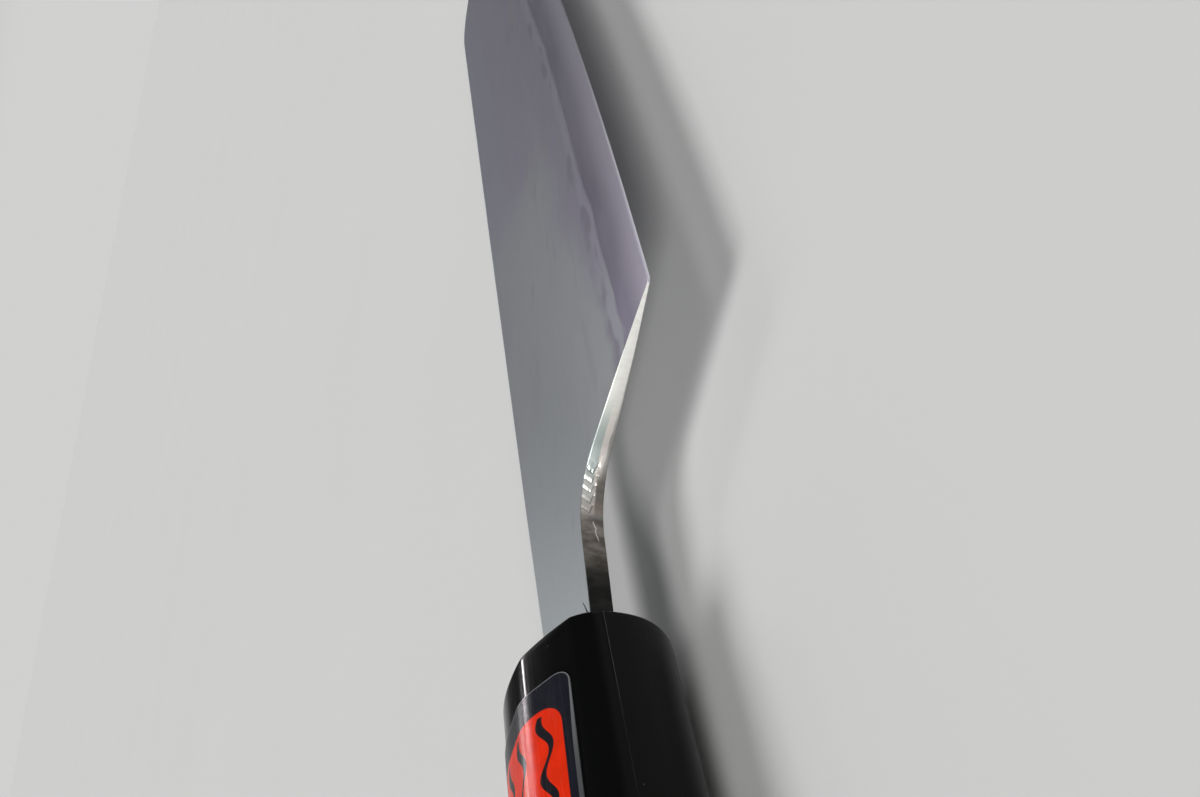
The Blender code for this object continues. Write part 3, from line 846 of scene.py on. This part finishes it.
class KNIFE_OT_add_blade(bpy.types.Operator):
    """Add the blade: its hard core and its two outer layers"""

    bl_idname = "knife.add_blade"
    bl_label = "Add Blade"

    def execute(self, context):
        look = context.scene.knife_blade
        core_steel, clad_steel = core_finish(look), cladding_finish(look)
        show_as(core_layer(look, core_steel), "blade_core")
        for name, side in (("right", 1), ("left", -1)):
            layer = cladding_layer("outer_layer_" + name, side, look, clad_steel)
            show_as(layer, "cladding_" + name)
        return {"FINISHED"}


def blade_values(x, grid, run, line):
    """What the steel's finish reads, in millimetres: two places, and two heights over the edge."""
    edge = edge_y(x)
    lengths = {"across": grid[..., 2], "run": run, "height": grid[..., 1] - edge, "line": line - edge}
    return {name: 1000 * length for name, length in lengths.items()}


def raised(x, y, z, outward, lift):
    """Points of the steel's underside, lifted along the outline's outward direction."""
    return x + outward[:, :1] * lift, y + outward[:, 1:] * lift, z


def core_layer(look, surface):
    """The core: rows at set heights over the lower outline, as thick as the steel up to the lamination.

    Above the lamination line it sinks just under the cladding. Below the neck and
    the heel a strip of rows crosses from the right-hand face to the left-hand one.
    """
    stations = blade_stations()
    x = stations[:, None]
    low, top, line = lower_y(x), spine_y(x), lamination_y(x, look.wave)
    exposed = [0.12, 0.24, 0.36, 0.5, 0.8, 1.3, 2.0, 2.9, 3.9, 4.9, 5.8, 6.5]
    around_line = np.arange(7.0, 10.3, 0.2)
    heights = np.array([*exposed, *around_line, 12, 17, 24, 32, 39, 46]) / 1000
    stretch = np.where(x < HEEL_X, (top - low) / BLADE_HEIGHT, 1.0)
    y = np.minimum(low + stretch * heights, top)
    sunk = 0.00002 * smooth_step(y - line, 0.0, 0.0004)
    z = np.minimum(half_thickness(x, y), core_half(x, look.wave)) - sunk
    z = np.maximum(z, 0)
    run, outward, _ = outline_run(stations)
    edge_z = np.minimum(half_thickness(x, low), core_half(x, look.wave))
    strip_z = edge_z * np.linspace(1, -1, 25)
    lift = choil_relief(run[:, None], strip_z) * (x < HEEL_X - 0.0004)
    strip = raised(x, low, strip_z, outward, lift)
    grid = stack((x, y[:, ::-1], z[:, ::-1]), strip, (x, y, -z))
    run = run[:, None]

    def on_strip(values):
        return np.concatenate([np.zeros_like(y), values, np.zeros_like(y)], axis=1)

    values = blade_values(x, grid, run, line)
    values["strip"] = on_strip(np.ones_like(strip_z)) * (x < HEEL_X - 0.0002)
    values["crack"] = on_strip(crack_mask(run, strip_z))
    return add_piece("core_layer", grid, surface, values)


def cladding_layer(name, side, look, surface):
    """An outer layer: the grind's surface from the lamination line to the spine, flat against the core.

    Its outer face is half the steel's thickness plus a faint forged undulation. The
    corners at the spine and at the choil are quarter circles.
    """
    stations = blade_stations()
    open_part = spine_y(stations) - lamination_y(stations, look.wave) > 0.00005
    stations = stations[open_part | (stations < HEEL_X)]
    x = stations[:, None]
    line = lamination_y(x, look.wave)
    outline, top = lower_y(x), spine_y(x)
    low = np.maximum(outline, line)
    inner = core_half(x, look.wave)
    run, outward, steep = outline_run(stations)
    at_choil = outline > line

    def outer(y):
        sway = ripples(x, 2.2 * y, 0.009, 0.05, seed=5 + side)
        hold = smooth_step(y - low, 0.0, 0.002) * smooth_step(top - y, 0.0, 0.001)
        return np.maximum(half_thickness(x, y) + look.undulation * sway * hold, inner) + look.step

    ease = np.minimum(CHOIL_EASE, 0.45 * (half_thickness(x, low) - inner).clip(0)) * at_choil
    ease_y = np.minimum(ease * steep[:, None], 0.2 * (top - low))
    spine_ease = np.minimum(SPINE_EASE, 0.2 * (top - low))
    share_up = 0.5 - 0.5 * np.cos(np.linspace(0, np.pi, 38))
    y = low + ease_y + (top - spine_ease - low - ease_y) * share_up
    z = outer(y)
    turn = np.linspace(0, np.pi / 2, 6)[1:]
    spine_depth = np.minimum(SPINE_EASE, 0.8 * (z[:, -1:] - inner).clip(0))
    crest_y = top - spine_ease * (1 - np.sin(turn))
    crest_z = z[:, -1:] - spine_depth * (1 - np.cos(turn))
    corner_y = low + ease_y * (1 - np.sin(turn))
    corner_z = z[:, :1] - ease * (1 - np.cos(turn))
    across = np.linspace(0, 1, 12)[1:]
    strip_z = corner_z[:, -1:] + (inner - corner_z[:, -1:]) * across
    lift_corner = choil_relief(run[:, None], side * corner_z) * np.sin(turn) * at_choil
    lift_strip = choil_relief(run[:, None], side * strip_z) * at_choil
    inner_y = low + (top - low) * np.array([0.12, 0.5, 1.0])
    grid = stack(
        (x, crest_y[:, ::-1], side * crest_z[:, ::-1]),
        (x, y[:, ::-1], side * z[:, ::-1]),
        raised(x, corner_y, side * corner_z, outward, lift_corner),
        raised(x, low, side * strip_z, outward, lift_strip),
        (x, inner_y, side * inner),
    )
    parts = [0 * crest_y, 0 * y, np.sin(turn) + 0 * x, 1 + 0 * strip_z, 1 + 0 * inner_y]
    values = blade_values(x, grid, run[:, None], line)
    values["strip"] = np.concatenate(parts, axis=1) * at_choil
    return add_piece(name, grid, surface, values)


class KNIFE_OT_add_handle(bpy.types.Operator):
    """Add the two moulded halves of the handle"""

    bl_idname = "knife.add_handle"
    bl_label = "Add Handle"

    def execute(self, context):
        surface = resin_finish(context.scene.knife_handle)
        for name, side in (("right", 1), ("left", -1)):
            half = handle_half("shell_" + name, side, surface)
            if side < 0:
                carve(half, tang_channel())
            carve(half, neck_block("recess", SEAL_WALL + FIT_GAP, -SEAL_DEPTH - FIT_GAP, 0.002))
            show_as(half, "handle_" + name)
        return {"FINISHED"}


def handle_half(name, side, surface):
    """A half: the section's angles on its side of the seam, with a hairline of flash along the seam.

    The flash stands out least towards the butt, and the grey painted on it, a painted highlight, fades with
    it.
    """
    x = handle_stations()[:, None]
    seam = np.arcsin(((SEAM_HEIGHT + side * SEAM_WIDTH) / handle_sizes(x)[0]) ** (SECTION_POWER / 2))
    if side > 0:
        ridge = np.arccos(-((RIDGE_DROP / handle_sizes(x)[1]) ** (SECTION_POWER / 2)))
        fan = np.linspace(0, 1, 90) ** 1.7
        above = ridge + (seam - ridge) * fan[::-1]
        angle = np.concatenate([above, ridge + (np.pi - seam - ridge) * fan[1:]], axis=1)
    else:
        angle = np.pi - seam + (np.pi + 2 * seam) * np.linspace(0, 1, 130)
    y, z = handle_point(x, angle)
    # How far the flash stands out, and how strongly its painted highlight shows: least towards the butt.
    flash_fade = 1 - 0.8 * smooth_step(-x, 0.008, 0.018)
    flash_fade = flash_fade * (0.8 + 0.35 * ripples(x, 0.0, 0.0006, 0.004, seed=41)) * smooth_step(-x, 0, RIM_ROUND)
    lips = [y[:, [end]] + np.sign(y[:, [end]]) * SEAM_FLASH * flash_fade for end in (0, -1)]
    grid = stack((x, lips[0], SEAM_HEIGHT), (x, y, z), (x, lips[1], SEAM_HEIGHT))
    flash = np.concatenate([flash_fade, 0 * y, flash_fade], axis=1)
    rubbed = ridge_rub(grid[..., 1], RIDGE_RUB) * (grid[..., 2] > 0)
    return add_piece(name, grid, surface, {"flash": flash, "rubbed": rubbed})


def ridge_rub(y, reach):
    """How much hands have polished a point: a bell curve of its distance from the ridge."""
    return np.exp(-(((y + RIDGE_DROP) / reach) ** 2))


def tang_channel():
    """The slot for the tang: a block that follows the tang's outline at three places."""
    x = np.array([-TANG_LENGTH - FIT_GAP, 0.0, 0.002])[:, None]
    inside = np.clip(x, -TANG_LENGTH, 0.0)
    low, high = lower_y(inside) - FIT_GAP, spine_y(inside) + FIT_GAP
    floor = -np.interp(inside, THICKNESS_PLACES, THICKNESSES) / 2 - FIT_GAP
    roof = SEAM_HEIGHT + 0.002
    y = np.concatenate([low, high, high, low], axis=1)
    z = np.concatenate([floor, floor, np.full_like(floor, roof), np.full_like(floor, roof)], axis=1)
    return add_piece("channel", stack((x, y, z)), None)


def neck_path(margin, count=12):
    """A loop round the neck at a margin: its rectangle with corners rounded to the margin."""
    low, high = lower_y(np.array(0.0)), spine_y(np.array(0.0))
    half = SPINE_THICKNESS / 2
    corners = ((low, -half, np.pi), (high, -half, -np.pi / 2), (high, half, 0.0), (low, half, np.pi / 2))
    turn = np.linspace(0, np.pi / 2, count)
    y = np.concatenate([corner_y + margin * np.cos(start + turn) for corner_y, _, start in corners])
    z = np.concatenate([corner_z + margin * np.sin(start + turn) for _, corner_z, start in corners])
    return y, z


def neck_block(name, margin, back, front):
    """A block round the neck from back to front, at a margin."""
    y, z = neck_path(margin)
    x = np.array([back, front])[:, None]
    return add_piece(name, stack((x, y, z)), None)


class KNIFE_OT_add_label(bpy.types.Operator):
    """Add the label that wraps over the handle's ridge"""

    bl_idname = "knife.add_label"
    bl_label = "Add Label"

    def execute(self, context):
        surface = label_finish(context.scene.knife_label)
        show_as(label_film(surface), "label")
        return {"FINISHED"}


def label_film(surface):
    """The film: the handle's surface between two edges, moved out along its normals by glue and film.

    Near each end the edges draw in by the circle of the corner. Its print map holds
    the way back from the front edge and the way up from the lower edge, and inset is
    the distance to its border.
    """
    near = np.array([0, 0.04, 0.09, 0.16, 0.26, 0.4, 0.6, 0.85, 1.15, 1.5, 1.85, 2.2]) / 1000
    body = np.linspace(LABEL_CORNER, LABEL_LENGTH - LABEL_CORNER, 150)[1:-1]
    back = np.concatenate([near, body, (LABEL_LENGTH - near)[::-1]])[:, None]
    from_end = np.minimum(np.minimum(back, LABEL_LENGTH - back), LABEL_CORNER)
    draw_in = LABEL_CORNER - np.sqrt(LABEL_CORNER**2 - (LABEL_CORNER - from_end) ** 2)
    x = -LABEL_SETBACK - back
    spread = 0.5 - 0.5 * np.cos(np.linspace(0, np.pi, 110))
    ease = 0.3 * spread + 0.7 * np.linspace(0, 1, 110)
    low, high = -LABEL_LOWER_EDGE + draw_in, LABEL_UPPER_EDGE - draw_in
    y = low + (high - low) * ease
    z = label_base(x, y)
    tiny = 1e-6
    slope_x = (label_base(x + tiny, y) - label_base(x - tiny, y)) / (2 * tiny)
    slope_y = (label_base(x, y + tiny) - label_base(x, y - tiny)) / (2 * tiny)
    normal = joined(-slope_x, -slope_y, 1.0)
    normal /= np.linalg.norm(normal, axis=-1, keepdims=True)
    surface_points = joined(x, y, z)
    under = surface_points + LABEL_GLUE * normal
    lift = LABEL_LIFT * ridge_rub(y, LABEL_LIFT_REACH)[..., None]
    over = surface_points + (LABEL_GLUE + LABEL_FILM + lift) * normal
    grid = np.concatenate([over, under[:, ::-1]], axis=1)
    steps = np.hypot(np.diff(y, axis=1), np.diff(z, axis=1))
    climb = np.cumsum(np.concatenate([draw_in, steps], axis=1), axis=1)
    to_sides = np.minimum(y + LABEL_LOWER_EDGE, LABEL_UPPER_EDGE - y)
    to_ends = np.broadcast_to(np.minimum(back, LABEL_LENGTH - back), y.shape)
    in_corner = (to_sides < LABEL_CORNER) & (to_ends < LABEL_CORNER)
    round_gap = LABEL_CORNER - np.hypot(LABEL_CORNER - to_sides, LABEL_CORNER - to_ends)
    inset = np.where(in_corner, round_gap, np.minimum(to_sides, to_ends)) * 1000
    both = np.concatenate([inset, inset[:, ::-1]], axis=1)
    rubbed = ridge_rub(grid[..., 1], 2 * RIDGE_RUB)
    print_map = joined(back, climb) / PRINT_UNIT
    print_map = np.concatenate([print_map, print_map[:, ::-1]], axis=1)
    return add_piece("wrapped_label", grid, surface, {"inset": both, "rubbed": rubbed}, print_map)


class KNIFE_OT_add_seal(bpy.types.Operator):
    """Add the resin that seals the neck, and the sliver that it left"""

    bl_idname = "knife.add_seal"
    bl_label = "Add Seal"

    def execute(self, context):
        surface = seal_finish()
        show_as(seal_ring(surface), "mouth_seal")
        sliver = resin_sliver(surface)
        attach(sliver, BODY)
        return {"FINISHED"}


def seal_ring(surface):
    """A collar carried round the neck, with an uneven bead that climbs the steel in a hollow curve."""
    margins = np.array([0.15, 0.15, 0.15, 0.22, 0.36, 0.62, 0.95, 1.35, 1.55, 1.55]) / 1000
    heights = np.array([-4.5, -1.0, 0.40, 0.34, 0.22, 0.12, 0.07, 0.03, -0.05, -4.5]) / 1000
    loops = []
    for margin, height in zip(margins, heights):
        y, z = neck_path(margin, count=26)
        uneven = 1 + 0.45 * ripples(y, z, 0.0016, 0.008, seed=31)
        x = height * (uneven if height > 0 else np.ones_like(y))
        x = np.minimum(x, SEAL_BEAD)
        loops.append(np.stack([x, y, z], axis=-1))
    grid = np.stack(loops, axis=1)
    return add_piece("neck_seal", np.concatenate([grid, grid[:1]]), surface, capped=False)


def resin_sliver(surface):
    """A whisker of cured resin beside the neck: a round profile that thins along a bent path."""
    t = np.linspace(0, 1, 60)[:, None]
    angle = np.linspace(0, 2 * np.pi, 12, endpoint=False)[None, :]
    radius = (SLIVER_ROOT - SLIVER_TIP) * (1 - t) ** 0.5 + SLIVER_TIP
    x = SLIVER_LENGTH * t
    y = -0.0065 - 0.0007 * t + radius * np.cos(angle)
    z = 0.00162 + 0.00004 * np.sin(9 * t) + 0.0006 * t**6 + radius * np.sin(angle)
    return add_piece("resin_sliver", stack((x, y, z)), surface)


class KNIFE_OT_finish_pins(bpy.types.Operator):
    """Give the hidden pins of the tang their turned finish"""

    bl_idname = "knife.finish_pins"
    bl_label = "Finish Pins"

    def execute(self, context):
        surface = pin_finish()
        for name in ("tang_pin_front", "tang_pin_rear"):
            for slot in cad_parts[name].material_slots:
                slot.material = surface
        return {"FINISHED"}


# Stage


class KNIFE_OT_add_stage(bpy.types.Operator):
    """Add the floor, the surroundings, the lamps and the camera"""

    bl_idname = "knife.add_stage"
    bl_label = "Add Stage"

    def execute(self, context):
        look = context.scene.knife_stage
        add_floor(look)
        add_surroundings(context.scene, look)
        for sun in SUNS:
            add_sun(*sun)
        add_camera(context.scene)
        return {"FINISHED"}


def add_floor(look):
    """A wide level board just under the knife."""
    corners = ((-1, -1), (1, -1), (1, 1), (-1, 1))
    mesh = bpy.data.meshes.new("studio_floor")
    points = [(FLOOR_REACH * x, FLOOR_REACH * y, -FLOOR_GAP) for x, y in corners]
    mesh.from_pydata(points, [], [(0, 1, 2, 3)])
    mesh.materials.append(floor_finish(look))
    floor = add_object("studio_floor", mesh)


def add_surroundings(scene, look):
    """Pale walls under a dark ceiling, with a dark screen above the horizon on one side."""
    world = bpy.data.worlds.new("studio")
    world.use_nodes = True
    made = Nodes(world.node_tree)
    heading = made.node("TexCoord").outputs["Generated"]
    toward = made.vector("DOT_PRODUCT", heading, DARK_HEADING, out="Value")
    up = made.node("SeparateXYZ", None, Vector=heading).outputs["Z"]
    screen = made.times(made.ramp(toward, 0.25, 0.60), made.ramp(up, 0.06, 0.20))
    dim = made.math("MAXIMUM", screen, made.ramp(up, 0.28, 0.55))
    sky = made.mix(dim, look.wall_color, look.ceiling_color)
    made.feed(world.node_tree.nodes["Background"].inputs["Color"], sky)
    scene.world = world


def add_sun(name, azimuth, elevation, spread, strength, tint):
    """A soft distant light: where it stands, how wide it looks, and how strong it is."""
    data = bpy.data.lights.new(name, "SUN")
    data.angle = math.radians(spread)
    data.energy = strength
    data.color = tint
    turn, climb = math.radians(azimuth), math.radians(elevation)
    place = Vector((math.cos(turn) * math.cos(climb), math.sin(turn) * math.cos(climb), math.sin(climb)))
    lamp = add_object(name, data)
    lamp.location = place
    lamp.rotation_mode = "QUATERNION"
    lamp.rotation_quaternion = (-place).to_track_quat("-Z", "Y")


def add_camera(scene):
    """The camera of the photograph: its place, its aim, its roll and its lens."""
    data = bpy.data.cameras.new("camera")
    data.lens = CAMERA_LENS
    data.sensor_width = 36.0
    data.clip_start = 0.01
    data.clip_end = 200.0
    camera = add_object("camera", data)
    place, target = Vector(CAMERA_PLACE) + Vector(MOUTH), Vector(CAMERA_TARGET) + Vector(MOUTH)
    back = (place - target).normalized()
    right = Vector(CAMERA_UP).cross(back).normalized()
    up = back.cross(right)
    turn = Matrix((right, up, back)).transposed().to_4x4()
    camera.matrix_world = Matrix.Translation(place) @ turn
    scene.camera = camera
    scene.view_settings.view_transform = "Standard"


class KNIFE_PT_panel(bpy.types.Panel):
    """Lists the pieces of the knife and their settings"""

    bl_label = "Santoku Knife"
    bl_idname = "KNIFE_PT_panel"
    bl_space_type = "VIEW_3D"
    bl_region_type = "UI"
    bl_category = "Knife"

    def draw(self, context):
        for operator in OPERATORS:
            self.layout.operator(operator.bl_idname)
        for name, group in GROUPS.items():
            box = self.layout.box()
            box.label(text=group.__doc__)
            for key in group.__annotations__:
                box.prop(getattr(context.scene, name), key)


OPERATORS = (
    KNIFE_OT_add_blade,
    KNIFE_OT_add_handle,
    KNIFE_OT_add_label,
    KNIFE_OT_add_seal,
    KNIFE_OT_finish_pins,
    KNIFE_OT_add_stage,
)


def register():
    for kind in (*GROUPS.values(), *OPERATORS, KNIFE_PT_panel):
        bpy.utils.register_class(kind)
    for name, group in GROUPS.items():
        setattr(bpy.types.Scene, name, PointerProperty(type=group))


def unregister():
    for name in GROUPS:
        delattr(bpy.types.Scene, name)
    for kind in (KNIFE_PT_panel, *OPERATORS, *GROUPS.values()):
        bpy.utils.unregister_class(kind)


def main():
    register()
    bpy.ops.knife.add_blade()
    bpy.ops.knife.add_handle()
    bpy.ops.knife.add_label()
    bpy.ops.knife.add_seal()
    bpy.ops.knife.finish_pins()
    bpy.ops.knife.add_stage()


if __name__ == "__main__":
    main()
